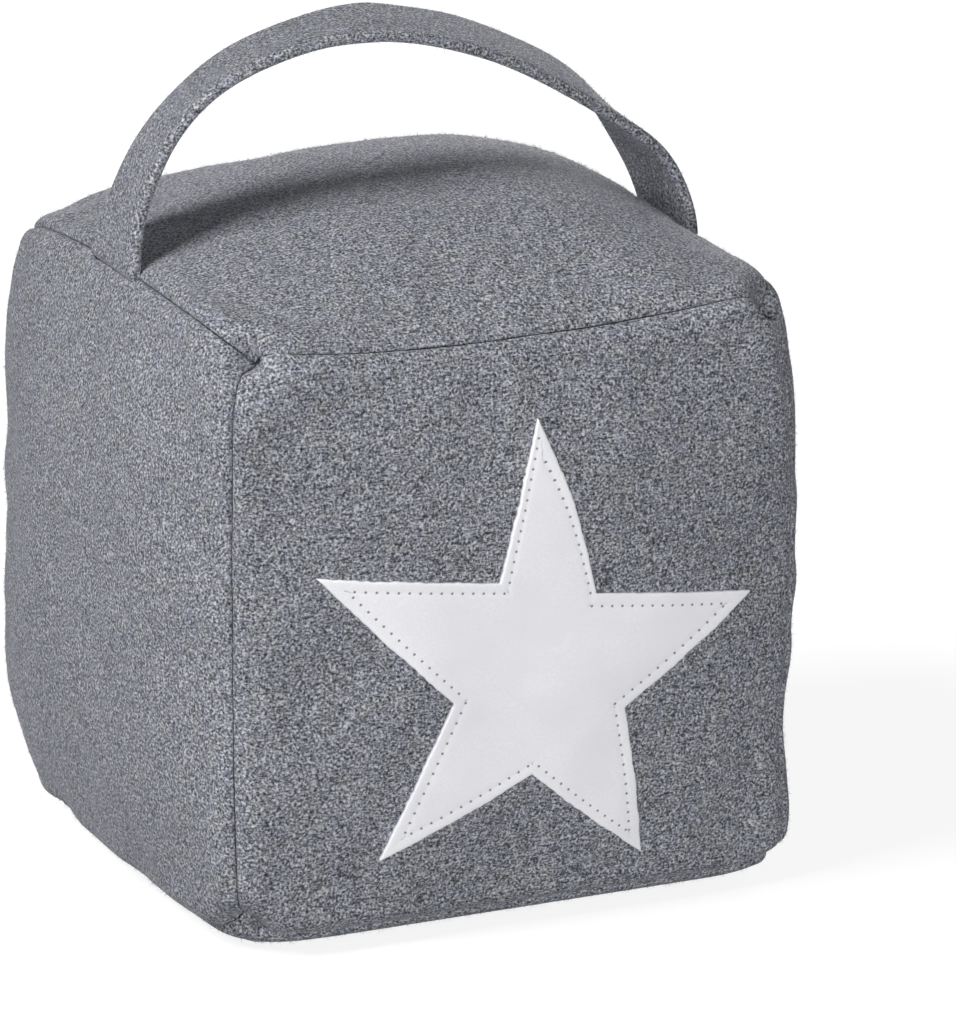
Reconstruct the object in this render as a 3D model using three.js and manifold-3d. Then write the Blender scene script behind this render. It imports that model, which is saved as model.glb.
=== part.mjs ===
// Weighted fabric door stop. Six panels of thick wool felt are sewn into a cube with their
// seam allowances turned inside. A sand bag lies at the bottom of the cube, and polyester
// wadding fills the rest. A felt strap, caught in the two side seams of the top, is the
// handle, and a felt star is sewn on the front.
// Millimetres, +Z up. The front faces -Y, and the origin is on the floor under the middle.
import * as THREE from 'three';
import Module from 'manifold-3d';
import { mergeVertices } from 'three/addons/utils/BufferGeometryUtils.js';

// The sewn cube before it is filled, measured between its seams.
const cubeWidth = 150;
const cubeDepth = 142;
const cubeHeight = 156.8;
const edgeRound = 7.4;

// How the filling swells the cube out of its flat panels, and where it draws the seams.
const leftSwell = 11.6;
const rightSwell = 8.7;
const frontSwell = 7.9;
const backSwell = 6.5;
const crownHeight = 14;
const crownLean = 0.2;
const fullness = 2.6;
const frontSeamDroop = 9;
const backSeamDroop = 3;
const leftSeamRise = 1.4;
const rightSeamRise = -7;
const footLift = 2.7;
const footRoll = 18;
const footReach = 24;
const footSpread = 1.1;
const footSpreadReach = 12;

// How far the stitching draws each corner in, along x, y and z, and how far along the felt
// that reaches. The corners at the back of the base are as the ones that show.
const cornerDraws = [
  { side: new THREE.Vector3(-1, -1, 1), inward: new THREE.Vector3(6.2, 5.4, 2.8), reach: 13 },
  { side: new THREE.Vector3(1, -1, 1), inward: new THREE.Vector3(3.5, 4.2, 7.2), reach: 15 },
  { side: new THREE.Vector3(-1, 1, 1), inward: new THREE.Vector3(2, 3.6, 5.1), reach: 16.3 },
  { side: new THREE.Vector3(1, 1, 1), inward: new THREE.Vector3(4.7, 4.9, 4.2), reach: 16.3 },
  { side: new THREE.Vector3(-1, -1, -1), inward: new THREE.Vector3(4.7, 5.6, 4.3), reach: 11.8 },
  { side: new THREE.Vector3(1, -1, -1), inward: new THREE.Vector3(1.2, 2.2, 2.1), reach: 11.8 },
  { side: new THREE.Vector3(-1, 1, -1), inward: new THREE.Vector3(6, 5, 2.6), reach: 11.8 },
  { side: new THREE.Vector3(1, 1, -1), inward: new THREE.Vector3(3, 3, 2.4), reach: 11.8 },
];

// The felt and its seams. The allowances are clipped at the corners.
const feltThickness = 1.8;
const seamAllowance = 7;
const cornerClip = 2.8;
const seamGap = 0.3;
const seamRoll = 2;

// The handle strap: its section, which is wider at the seams, its tails in the seams, the
// curve that its arch follows, and how that turns about itself, as shares of the curve and
// degrees.
const strapWidth = 23;
const strapFootWidth = 27;
const strapFootReach = 16;
const strapThickness = 3;
const strapTail = 6.3;
const strapStand = 2.5;
const strapPlay = 0.35;
const strapSeamTaper = 6;
const archCrest = new THREE.Vector2(-9.2, 57);
const archLeftPull = new THREE.Vector2(5.5, 33.8);
const archCrestLeftPull = 40.9;
const archCrestRightPull = 15.6;
const archRightPull = new THREE.Vector2(-4.1, 39.3);
const archLean = -3;
const archTurns = [[0, 0], [0.2, -11.4], [0.5, 6.8], [0.8, 12.8], [1, 0]];

// The star on the front panel.
// It is cut by eye, so each of its tips and waists has a place of its own about its middle.
const starMiddle = new THREE.Vector2(2, 66.3);
const starTips = [
  new THREE.Vector2(0.9, 68.6),
  new THREE.Vector2(57.6, 12.5),
  new THREE.Vector2(29.2, -53.2),
  new THREE.Vector2(-40.6, -43.9),
  new THREE.Vector2(-56.7, 31.9),
];
const starWaists = [
  new THREE.Vector2(14.8, 19.8),
  new THREE.Vector2(22.6, -11.4),
  new THREE.Vector2(-1.8, -25.4),
  new THREE.Vector2(-22.6, -3.9),
  new THREE.Vector2(-10.5, 26),
];
const starThickness = 1.2;
const starGap = 0.4;

// The filling: a pillow bag of sand, and the wadding round and over it.
const bagInset = 20;
const bagHeight = 66;
const bagSealLength = 9;
const bagSealThickness = 1.4;
const bagSquareness = 4;
const bagGap = 0.4;
const pocketPlay = 1.2;
const waddingGap = 0.9;
const waddingSlack = 0.35;

// How finely the forms are divided.
const panelCells = 6;
const panelDepthCells = 3;
const archSteps = 15;
const strapEdgeSteps = 4;
const starRings = 4;
const bagStations = 12;
const bagSectionSteps = 24;

// What follows from the sizes.
const half = new THREE.Vector3(cubeWidth / 2, cubeDepth / 2, cubeHeight / 2);
const coreHigh = half.clone().subScalar(edgeRound);
const coreLow = coreHigh.clone().negate();
const edgeArc = edgeRound * Math.PI / 4;
const firstBodyLine = edgeArc + 5;
const turnedFelt = seamGap / 2 + feltThickness;
const strapSlot = strapThickness / 2 + strapPlay;
const strapWindow = strapFootWidth / 2 + strapPlay;
const turnedShift = turnedFelt + strapSlot + 2.5;

// A panel's outward axis and the two axes that lie in it, first x second = out.
const panels = {
  front: { out: new THREE.Vector3(0, -1, 0), first: new THREE.Vector3(1, 0, 0), second: new THREE.Vector3(0, 0, 1) },
  back: { out: new THREE.Vector3(0, 1, 0), first: new THREE.Vector3(-1, 0, 0), second: new THREE.Vector3(0, 0, 1) },
  left: { out: new THREE.Vector3(-1, 0, 0), first: new THREE.Vector3(0, -1, 0), second: new THREE.Vector3(0, 0, 1) },
  right: { out: new THREE.Vector3(1, 0, 0), first: new THREE.Vector3(0, 1, 0), second: new THREE.Vector3(0, 0, 1) },
  top: { out: new THREE.Vector3(0, 0, 1), first: new THREE.Vector3(1, 0, 0), second: new THREE.Vector3(0, 1, 0) },
  base: { out: new THREE.Vector3(0, 0, -1), first: new THREE.Vector3(1, 0, 0), second: new THREE.Vector3(0, -1, 0) },
};

function material(name, colour, roughness) {
  return new THREE.MeshStandardMaterial({ name, color: colour, roughness, metalness: 0 });
}

const greyFelt = material('grey_felt', 0x8a8b92, 0.95);
const whiteFelt = material('white_felt', 0xe6e6ea, 0.95);
const polyesterWadding = material('wadding', 0xf2f1ee, 0.95);
const sandInBag = material('sand_in_bag', 0xc9b58c, 0.8);

// The forms below are first made round the unfilled cube, and then moved by the filling.

// How far a line across the whole cube is free to swell: nothing at its ends, 1 in the middle.
function freedom(w) {
  return 1 - Math.min(Math.abs(w), 1) ** fullness;
}

// Moves a point of the unfilled cube to where the filling puts it.
function filled(point) {
  const x = point.x / half.x;
  const y = point.y / half.y;
  const z = point.z / half.z - 1;
  const wide = freedom(x);
  const deep = freedom(y);
  const tall = freedom(z);
  const rise = (Math.max(z + 1, 0) / 2) ** 3;
  const seamDroop = y < 0 ? frontSeamDroop : backSeamDroop;
  const seamRise = x < 0 ? leftSeamRise : rightSeamRise;
  const spread = footSpread * Math.exp(-((point.z / footSpreadReach) ** 2));
  const toSeam = Math.max(Math.min(half.x - Math.abs(point.x), half.y - Math.abs(point.y)), 0);
  const roll = THREE.MathUtils.smoothstep(footRoll - toSeam, 0, footRoll);
  const swelled = point.clone();
  swelled.x += (x < 0 ? leftSwell : rightSwell) * x * deep * tall + spread * x;
  swelled.y += (y < 0 ? frontSwell : backSwell) * y * wide * tall + spread * y;
  swelled.z += rise * crownHeight * (1 + crownLean * x) * wide * deep;
  swelled.z += rise * (seamRise * deep * (1 - wide) - seamDroop * wide * (1 - deep));
  swelled.z += footLift * roll * Math.exp(-((point.z / footReach) ** 2));
  return swelled;
}

// The point of the rounded cube, and its outward direction, under a point of the sharp cube.
function onRoundedCube(panel, first, second) {
  const cube = new THREE.Vector3()
    .addScaledVector(panel.out, Math.abs(panel.out.dot(half)))
    .addScaledVector(panel.first, first)
    .addScaledVector(panel.second, second);
  const core = cube.clone().clamp(coreLow, coreHigh);
  const out = cube.sub(core).normalize();
  const point = core.addScaledVector(out, edgeRound);
  point.z += half.z;
  return { point, out };
}

// How far along the felt from its seam a point of the sharp cube lies, and the reverse.
function fromSeam(halfLength, at) {
  const inRound = Math.abs(at) - (halfLength - edgeRound);
  if (inRound > 0) return (Math.PI / 4 - Math.atan(inRound / edgeRound)) * edgeRound;
  return edgeArc - inRound;
}

// How far the corners of a panel, where three seams meet, draw in a place of the sharp cube.
// The felt keeps its thickness, because all that lies under the place moves with it.
function drawnIn(panel, first, second) {
  const drawn = new THREE.Vector3();
  const distanceTo = (axis, at, side) => {
    const halfLength = Math.abs(axis.dot(half));
    const inRound = at * axis.dot(side) - (halfLength - edgeRound);
    return inRound > 0 ? edgeArc - edgeRound * Math.atan(inRound / edgeRound) : edgeArc - inRound;
  };
  cornerDraws.filter(({ side }) => panel.out.dot(side) > 0).forEach(({ side, inward, reach }) => {
    const toCorner = Math.hypot(distanceTo(panel.first, first, side), distanceTo(panel.second, second, side));
    drawn.addScaledVector(inward.clone().multiply(side), -Math.exp(-((toCorner / reach) ** 2)));
  });
  return drawn;
}

function atDistance(halfLength, distance) {
  if (distance < edgeArc) {
    return halfLength - edgeRound + edgeRound * Math.tan((edgeArc - distance) / edgeRound);
  }
  return halfLength - edgeRound + edgeArc - distance;
}

// Mesh lines across one direction of the cube: close together at the seams, then evenly
// spaced. Across the depth they also follow the edges of the strap.
function linesAcross(halfLength, middle) {
  const near = [0, 0.3 * seamRoll, seamRoll, edgeArc - 1, firstBodyLine].map((d) => atDistance(halfLength, d));
  return [...near.map((at) => -at), ...middle, ...near.reverse()];
}

function evenly(from, to, cells) {
  return Array.from({ length: cells - 1 }, (_, k) => from + (to - from) * (k + 1) / cells);
}

const strapLines = [strapWindow + strapSeamTaper, strapWindow];
const sideLines = [...evenly(atDistance(half.y, firstBodyLine), strapLines[0], panelDepthCells), ...strapLines];
const evenLines = (halfLength) => {
  const end = atDistance(halfLength, firstBodyLine);
  return evenly(-end, end, panelCells);
};
const lines = {
  x: linesAcross(half.x, evenLines(half.x)),
  y: linesAcross(half.y, [...sideLines.map((at) => -at), 0, ...sideLines.slice().reverse()]),
  z: linesAcross(half.z, evenLines(half.z)),
};

// The lines, and the cube's half length, along an axis.
function along(axis) {
  const name = Math.abs(axis.x) > 0.5 ? 'x' : Math.abs(axis.y) > 0.5 ? 'y' : 'z';
  return { lines: lines[name], half: half[name] };
}

// How deep the felt rolls in where it turns into the seam.
function rollDepth(distance) {
  if (distance >= seamRoll) return 0;
  return seamRoll - Math.sqrt(seamRoll ** 2 - (seamRoll - distance) ** 2);
}

// How far a panel's edge stands back to let in the strap's tail. Only the side seams of the
// top open, over the strap's width.
function seamOpening(panel, neighbourOut, y) {
  const holdsStrap = Math.abs(panel.out.x) + Math.abs(neighbourOut.x) > 0.5
    && panel.out.z + neighbourOut.z > 0.5;
  if (!holdsStrap) return 0;
  const open = 1 - THREE.MathUtils.smoothstep(Math.abs(y), strapWindow, strapWindow + strapSeamTaper);
  return (strapSlot - seamGap / 2) * open;
}

// Collects vertices and faces and turns them into a geometry without doubled vertices.
class Skin {
  constructor() {
    this.positions = [];
    this.faces = [];
  }

  vertex(point) {
    this.positions.push(point.x, point.y, point.z);
    return this.positions.length / 3 - 1;
  }

  grid(rowCount, columnCount, pointAt) {
    return Array.from({ length: rowCount }, (_, i) => (
      Array.from({ length: columnCount }, (__, j) => this.vertex(pointAt(i, j)))
    ));
  }

  quad(a, b, c, d) {
    this.faces.push(a, b, c, a, c, d);
  }

  fillGrid(grid, turnedOver = false) {
    for (let i = 0; i + 1 < grid.length; i += 1) {
      for (let j = 0; j + 1 < grid[i].length; j += 1) {
        const [a, b, c, d] = [grid[i][j], grid[i + 1][j], grid[i + 1][j + 1], grid[i][j + 1]];
        if (turnedOver) this.quad(a, d, c, b);
        else this.quad(a, b, c, d);
      }
    }
  }

  // Joins two closed loops with as many vertices, the second one further along the skin.
  joinLoops(near, far) {
    near.forEach((_, k) => {
      const next = (k + 1) % near.length;
      this.quad(far[k], far[next], near[next], near[k]);
    });
  }

  geometry() {
    const geometry = new THREE.BufferGeometry();
    geometry.setAttribute('position', new THREE.Float32BufferAttribute(this.positions, 3));
    geometry.setIndex(this.faces);
    return mergeVertices(geometry, 1e-4);
  }
}

// The places of a grid's outline, counted once round.
function outlinePlaces(rowCount, columnCount) {
  const places = [];
  for (let i = 0; i < rowCount - 1; i += 1) places.push([i, 0]);
  for (let j = 0; j < columnCount - 1; j += 1) places.push([rowCount - 1, j]);
  for (let i = rowCount - 1; i > 0; i -= 1) places.push([i, columnCount - 1]);
  for (let j = columnCount - 1; j > 0; j -= 1) places.push([0, j]);
  return places;
}

// One felt panel: its outer face, the allowance turned in along each seam, and its inner face,
// which ends at the turned-in felt.
function panelGeometry(panel) {
  const rows = along(panel.first);
  const columns = along(panel.second);
  const rowCount = rows.lines.length;
  const columnCount = columns.lines.length;
  const seamDistance = (line, direction) => fromSeam(direction.half, line);
  const isOutline = (i, j) => i % (rowCount - 1) === 0 || j % (columnCount - 1) === 0;

  // How far the seams next to a place stand open: first those that the rows run to, then
  // those that the columns run to.
  function openings(i, j) {
    const { point } = onRoundedCube(panel, rows.lines[i], columns.lines[j]);
    return [[panel.first, rows.lines[i]], [panel.second, columns.lines[j]]].map(([axis, line]) => (
      seamOpening(panel, axis.clone().multiplyScalar(Math.sign(line)), point.y)
    ));
  }

  // A point at a depth under the face, moved off the seam's middle plane by an offset.
  function atSeam([i, j], depth, extraOffset) {
    const { point, out } = onRoundedCube(panel, rows.lines[i], columns.lines[j]);
    const [rowOpening, columnOpening] = openings(i, j);
    const opening = i % (rowCount - 1) === 0 ? rowOpening : columnOpening;
    const offset = seamGap / 2 + opening + extraOffset;
    point.addScaledVector(out, -depth - offset);
    point.addScaledVector(panel.out, Math.SQRT2 * offset);
    return filled(point).add(drawnIn(panel, rows.lines[i], columns.lines[j]));
  }

  // The allowance at a place of the outline, which is clipped towards the corners to lie flat.
  function allowanceAt([i, j]) {
    const toCorner = Math.max(seamDistance(rows.lines[i], rows), seamDistance(columns.lines[j], columns));
    return seamAllowance - cornerClip * Math.max(0, 1 - toCorner / firstBodyLine);
  }

  // Lines near a seam stand back from it by most of a shift.
  function standBack(direction, line, shift) {
    const distance = seamDistance(line, direction);
    const share = Math.max(0, 1 - distance / firstBodyLine);
    return Math.sign(line) * atDistance(direction.half, distance + shift * share);
  }

  function outerPoint(i, j) {
    if (isOutline(i, j)) return atSeam([i, j], seamRoll, 0);
    const nearest = Math.min(seamDistance(rows.lines[i], rows), seamDistance(columns.lines[j], columns));
    const [rowOpening, columnOpening] = openings(i, j);
    const first = standBack(rows, rows.lines[i], rowOpening);
    const second = standBack(columns, columns.lines[j], columnOpening);
    const { point, out } = onRoundedCube(panel, first, second);
    return filled(point.addScaledVector(out, -rollDepth(nearest))).add(drawnIn(panel, first, second));
  }

  function innerPoint(i, j) {
    if (isOutline(i, j)) return atSeam([i, j], feltThickness, feltThickness);
    const first = standBack(rows, rows.lines[i], turnedShift);
    const second = standBack(columns, columns.lines[j], turnedShift);
    const { point, out } = onRoundedCube(panel, first, second);
    return filled(point.addScaledVector(out, -feltThickness)).add(drawnIn(panel, first, second));
  }

  const skin = new Skin();
  const outer = skin.grid(rowCount, columnCount, outerPoint);
  const inner = skin.grid(rowCount, columnCount, innerPoint);
  const places = outlinePlaces(rowCount, columnCount);
  const turnedEdge = places.map((place) => skin.vertex(atSeam(place, allowanceAt(place), 0)));
  const cutEdge = places.map((place) => skin.vertex(atSeam(place, allowanceAt(place), feltThickness)));
  skin.fillGrid(outer);
  skin.joinLoops(places.map(([i, j]) => outer[i][j]), turnedEdge);
  skin.joinLoops(turnedEdge, cutEdge);
  skin.joinLoops(cutEdge, places.map(([i, j]) => inner[i][j]));
  skin.fillGrid(inner, true);
  return skin.geometry();
}

// A closed skin through equal rings of points, with flat ends.
function loftGeometry(rings) {
  const skin = new Skin();
  const loops = rings.map((ring) => ring.map((point) => skin.vertex(point)));
  for (let k = 0; k + 1 < loops.length; k += 1) skin.joinLoops(loops[k + 1], loops[k]);
  const close = (loop, turnedOver) => {
    for (let k = 1; k + 1 < loop.length; k += 1) {
      const face = [loop[0], loop[k], loop[k + 1]];
      skin.faces.push(...(turnedOver ? face.reverse() : face));
    }
  };
  close(loops[0], true);
  close(loops[loops.length - 1], false);
  return skin.geometry();
}

// Where the strap leaves a side seam of the top, seen from the front: the seam's point at
// some depth inside it. side is -1 for the left and 1 for the right.
function inSideSeam(side, depth) {
  const { point, out } = onRoundedCube(panels.top, side * half.x, 0);
  const place = filled(point.addScaledVector(out, -depth));
  return new THREE.Vector2(place.x, place.z);
}

// The strap's middle line seen from the front: a tail in the left seam, an arch of two curves
// that meet level at the crest, and a tail in the right seam.
function strapLine() {
  const leftFoot = inSideSeam(-1, -strapStand);
  const rightFoot = inSideSeam(1, -strapStand);
  const footHeight = (leftFoot.y + rightFoot.y) / 2;
  const crest = new THREE.Vector2(archCrest.x, footHeight + archCrest.y);
  const rising = new THREE.CubicBezierCurve(
    leftFoot,
    leftFoot.clone().add(archLeftPull),
    new THREE.Vector2(crest.x - archCrestLeftPull, crest.y),
    crest,
  );
  const falling = new THREE.CubicBezierCurve(
    crest,
    new THREE.Vector2(crest.x + archCrestRightPull, crest.y),
    rightFoot.clone().add(archRightPull),
    rightFoot,
  );
  return [
    inSideSeam(-1, strapTail),
    inSideSeam(-1, strapTail / 2),
    inSideSeam(-1, 0),
    ...rising.getPoints(archSteps),
    ...falling.getPoints(archSteps).slice(1),
    inSideSeam(1, 0),
    inSideSeam(1, strapTail / 2),
    inSideSeam(1, strapTail),
  ];
}

// The strap's section: a flat band with round folded edges, as points across and through it.
function strapSection(width) {
  const radius = strapThickness / 2;
  const straight = width / 2 - radius;
  const points = [];
  [1, -1].forEach((end) => {
    for (let k = 0; k <= strapEdgeSteps; k += 1) {
      const turn = Math.PI * (k / strapEdgeSteps - 0.5);
      const across = end * (straight + radius * Math.cos(turn));
      points.push(new THREE.Vector2(across, end * radius * Math.sin(turn)));
    }
  });
  return points;
}

// A value read off a list of places and values, which runs straight from each to the next.
function between(list, place) {
  const k = Math.max(1, list.findIndex(([at]) => at >= place));
  const [[from, low], [to, high]] = [list[k - 1], list[k]];
  return low + (high - low) * (place - from) / (to - from);
}

// The band follows the middle line, mitred where it bends. Along the arch it leans, turns
// about its line, and narrows from its feet.
function strapGeometry() {
  const line = strapLine();
  const footRing = 3;
  const lengths = line.map((place, k) => (k > 0 ? place.distanceTo(line[k - 1]) : 0));
  const runTo = (k) => lengths.slice(footRing + 1, k + 1).reduce((sum, length) => sum + length, 0);
  const archLength = runTo(line.length - 1 - footRing);
  const rings = line.map((place, k) => {
    const before = place.clone().sub(line[Math.max(k - 1, 0)]).normalize();
    const after = line[Math.min(k + 1, line.length - 1)].clone().sub(place).normalize();
    const course = before.add(after).normalize();
    const bend = k > 0 && k < line.length - 1
      ? course.dot(line[k + 1].clone().sub(place).normalize())
      : 1;
    const run = Math.min(runTo(k), archLength);
    const share = k < line.length - footRing ? run / archLength : 1;
    const toFoot = Math.min(share, 1 - share) * archLength;
    const narrowed = THREE.MathUtils.smoothstep(toFoot, 0, strapFootReach);
    const width = THREE.MathUtils.lerp(strapFootWidth, strapWidth, narrowed);
    const turn = THREE.MathUtils.degToRad(between(archTurns, share));
    const outward = new THREE.Vector3(-course.y, 0, course.x);
    const aside = new THREE.Vector3(0, Math.cos(turn), 0).addScaledVector(outward, Math.sin(turn));
    const thick = outward.multiplyScalar(Math.cos(turn) / bend).add(new THREE.Vector3(0, -Math.sin(turn), 0));
    const middle = new THREE.Vector3(place.x, archLean * Math.sin(Math.PI * share), place.y);
    return strapSection(width).map(({ x: across, y: through }) => (
      middle.clone().addScaledVector(aside, across).addScaledVector(thick, through)
    ));
  });
  return loftGeometry(rings);
}

// The star's corners about its middle, tips and waists in turn, counted against the clock as
// seen from the front.
function starCorners() {
  return starTips.flatMap((tip, k) => [tip, starWaists[k]]).reverse();
}

// The star lies on the swelled front, so it is laid out in rings whose points all follow it.
function starGeometry() {
  const corners = starCorners();
  const skin = new Skin();
  const onFront = (flat, height) => {
    const at = flat.clone().add(starMiddle);
    const { point, out } = onRoundedCube(panels.front, at.x, at.y - half.z);
    return filled(point.addScaledVector(out, height)).add(drawnIn(panels.front, at.x, at.y - half.z));
  };
  const layer = (height) => Array.from({ length: starRings + 1 }, (_, ring) => {
    if (ring === 0) return [skin.vertex(onFront(new THREE.Vector2(), height))];
    return corners.flatMap((corner, k) => {
      const next = corners[(k + 1) % corners.length];
      return Array.from({ length: ring }, (__, step) => (
        skin.vertex(onFront(corner.clone().lerp(next, step / ring).multiplyScalar(ring / starRings), height))
      ));
    });
  });
  const fillLayer = (layerRings, turnedOver) => {
    const face = (...abc) => skin.faces.push(...(turnedOver ? abc.reverse() : abc));
    for (let ring = 1; ring <= starRings; ring += 1) {
      const outerRing = layerRings[ring];
      const innerRing = layerRings[ring - 1];
      corners.forEach((_, k) => {
        for (let step = 0; step < ring; step += 1) {
          const a = outerRing[k * ring + step];
          const b = outerRing[(k * ring + step + 1) % outerRing.length];
          const c = innerRing[(k * (ring - 1) + step) % innerRing.length];
          face(a, b, c);
          if (step + 1 < ring) face(c, b, innerRing[(k * (ring - 1) + step + 1) % innerRing.length]);
        }
      });
    }
  };
  const back = layer(starGap);
  const face = layer(starGap + starThickness);
  fillLayer(face, false);
  fillLayer(back, true);
  skin.joinLoops(face[starRings], back[starRings]);
  return skin.geometry();
}

// A pillow bag lying flat: its section sinks from its full height to a flat seal at each end.
// play moves its skin out and its ends along, and below moves its underside down.
function bagGeometry(play, below) {
  const length = cubeWidth / 2 - bagInset;
  const breadth = cubeDepth / 2 - bagInset;
  const body = length - bagSealLength;
  const floor = feltThickness + bagGap;
  const squared = (value) => Math.sign(value) * Math.abs(value) ** (2 / bagSquareness);
  const stations = Array.from({ length: bagStations + 1 }, (_, k) => body * (2 * k / bagStations - 1));
  const rings = [-length, ...stations, length].map((x) => {
    const towardsSeal = Math.min(Math.abs(x) / body, 1);
    const plump = Math.sqrt(1 - towardsSeal ** bagSquareness);
    const height = bagSealThickness + (bagHeight - bagSealThickness) * plump;
    return Array.from({ length: bagSectionSteps }, (_, step) => {
      const turn = (step + 0.5) / bagSectionSteps * 2 * Math.PI;
      const y = breadth * squared(Math.cos(turn));
      const up = squared(Math.sin(turn));
      return new THREE.Vector3(
        Math.abs(x) > body ? x + Math.sign(x) * play : x,
        y + Math.sign(y) * play,
        floor + height * (1 + up) / 2 + (up > 0 ? play : -below),
      );
    });
  });
  return loftGeometry(rings);
}

const wasm = await Module();
wasm.setup();

function toSolid(geometry) {
  const vertProperties = new Float32Array(geometry.attributes.position.array);
  const triVerts = new Uint32Array(geometry.index.array);
  return new wasm.Manifold(new wasm.Mesh({ numProp: 3, vertProperties, triVerts }));
}

function toGeometry(solid) {
  const mesh = solid.getMesh();
  const geometry = new THREE.BufferGeometry();
  geometry.setAttribute('position', new THREE.BufferAttribute(mesh.vertProperties, 3));
  geometry.setIndex(new THREE.BufferAttribute(mesh.triVerts, 1));
  return geometry;
}

// The wadding lies against the panels, ends flat behind the turned-in allowances, and is
// slacker where the corners are drawn in. The pocket for the sand bag is cut out of it from
// below.
function waddingGeometry() {
  const skin = new Skin();
  const farFromSeams = (direction) => [
    direction.lines[0],
    ...direction.lines.slice(4, -4),
    direction.lines[direction.lines.length - 1],
  ];
  Object.values(panels).forEach((panel) => {
    const rowLines = farFromSeams(along(panel.first));
    const columnLines = farFromSeams(along(panel.second));
    const grid = skin.grid(rowLines.length, columnLines.length, (i, j) => {
      const onEdge = i % (rowLines.length - 1) === 0 || j % (columnLines.length - 1) === 0;
      const drawn = drawnIn(panel, rowLines[i], columnLines[j]);
      const behind = waddingGap + waddingSlack * drawn.length();
      const depth = (onEdge ? seamAllowance : feltThickness) + behind;
      const { point, out } = onRoundedCube(panel, rowLines[i], columnLines[j]);
      return filled(point.addScaledVector(out, -depth)).add(drawn);
    });
    skin.fillGrid(grid);
  });
  const pocket = toSolid(bagGeometry(pocketPlay, 2 * waddingGap));
  return toGeometry(toSolid(skin.geometry()).subtract(pocket));
}

const doorStop = new THREE.Group();

function addPart(name, geometry, partMaterial) {
  const mesh = new THREE.Mesh(geometry, partMaterial);
  mesh.name = name;
  doorStop.add(mesh);
}

Object.entries(panels).forEach(([name, panel]) => addPart(`panel_${name}`, panelGeometry(panel), greyFelt));
addPart('handle_strap', strapGeometry(), greyFelt);
addPart('star_applique', starGeometry(), whiteFelt);
addPart('sand_bag', bagGeometry(0, 0), sandInBag);
addPart('wadding', waddingGeometry(), polyesterWadding);

export default doorStop;
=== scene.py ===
import math

import bpy
import numpy as np
from mathutils import Matrix


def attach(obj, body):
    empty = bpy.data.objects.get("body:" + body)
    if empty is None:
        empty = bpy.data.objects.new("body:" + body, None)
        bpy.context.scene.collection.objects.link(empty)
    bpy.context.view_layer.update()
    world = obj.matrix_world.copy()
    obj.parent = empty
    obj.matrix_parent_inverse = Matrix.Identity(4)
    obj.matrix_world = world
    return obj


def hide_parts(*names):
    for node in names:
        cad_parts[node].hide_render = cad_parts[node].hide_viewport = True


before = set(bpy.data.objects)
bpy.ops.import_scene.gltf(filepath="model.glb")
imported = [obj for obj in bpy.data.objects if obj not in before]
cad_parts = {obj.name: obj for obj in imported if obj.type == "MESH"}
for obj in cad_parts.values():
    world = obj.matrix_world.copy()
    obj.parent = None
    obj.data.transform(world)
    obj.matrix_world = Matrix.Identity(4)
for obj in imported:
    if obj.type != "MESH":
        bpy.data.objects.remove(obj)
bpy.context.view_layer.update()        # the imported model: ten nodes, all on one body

mm = 0.001        # sizes of the object are in millimetres below, the studio's and the meshes' in metres
print("frame loaded:", len(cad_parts), "nodes")


# sRGB hex to the linear colour that a shader socket takes
def linear(hexColour):
    channels = np.array([int(hexColour[k:k + 2], 16) for k in (1, 3, 5)]) / 255
    bright = ((channels + 0.055) / 1.055) ** 2.4
    return (*np.where(channels <= 0.04045, channels / 12.92, bright).tolist(), 1.0)


# Adds a shader node with its properties, its values by socket, its links from other nodes' outputs, and the
# hex colours of a ramp at their places. A Mix node's colours are its inputs 6 and 7 and its output 2
def addNode(tree, kind, settings=None, values=None, links=None, stops=None):
    node = tree.nodes.new("ShaderNode" + kind)
    for key, value in (settings or {}).items():
        setattr(node, key, value)
    for key, value in (values or {}).items():
        node.inputs[key].default_value = value
    for key, source in (links or {}).items():
        tree.links.new(source, node.inputs[key])
    if stops:
        elements = node.color_ramp.elements
        elements[0].position, elements[1].position = stops[0][0], stops[-1][0]
        elements[0].color, elements[1].color = linear(stops[0][1]), linear(stops[-1][1])
        for position, shade in stops[1:-1]:
            elements.new(position).color = linear(shade)
    return node


# Mesh from points in mm, faces as index rows, and UV maps as a pair of numbers for each point
def makePiece(name, points, faces, material, maps=None, smooth=True):
    mesh = bpy.data.meshes.new(name)
    flat = np.asarray(points, float).reshape(-1, 3) * mm
    mesh.from_pydata(flat.tolist(), [], [list(face) for face in faces])
    corners = np.zeros(len(mesh.loops), np.int32)
    mesh.loops.foreach_get("vertex_index", corners)
    for mapName, places in (maps or {}).items():
        layer = mesh.uv_layers.new(name=mapName)
        layer.data.foreach_set("uv", np.asarray(places, np.float32).reshape(-1, 2)[corners].ravel())
    mesh.polygons.foreach_set("use_smooth", np.full(len(mesh.polygons), smooth))
    mesh.materials.append(material)
    mesh.update()
    piece = bpy.data.objects.new(name, mesh)
    bpy.context.scene.collection.objects.link(piece)
    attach(piece, "root")
    return piece


# Quads of a grid of rows x columns whose points are numbered row by row from start
def gridFaces(rows, columns, start=0, turned=False):
    corner = start + np.arange(rows - 1)[:, None] * columns + np.arange(columns - 1)
    a, b, c, d = corner, corner + columns, corner + columns + 1, corner + 1
    order = (a, d, c, b) if turned else (a, b, c, d)
    return np.stack(order, -1).reshape(-1, 4)


# Quads between two closed loops with as many points, the second one further along the skin
def bandFaces(near, far):
    nextNear, nextFar = np.roll(near, -1), np.roll(far, -1)
    return np.stack((far, nextFar, nextNear, near), -1)


def smoothStep(low, high, value):
    share = np.clip((value - low) / (high - low), 0, 1)
    return share * share * (3 - 2 * share)


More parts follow.
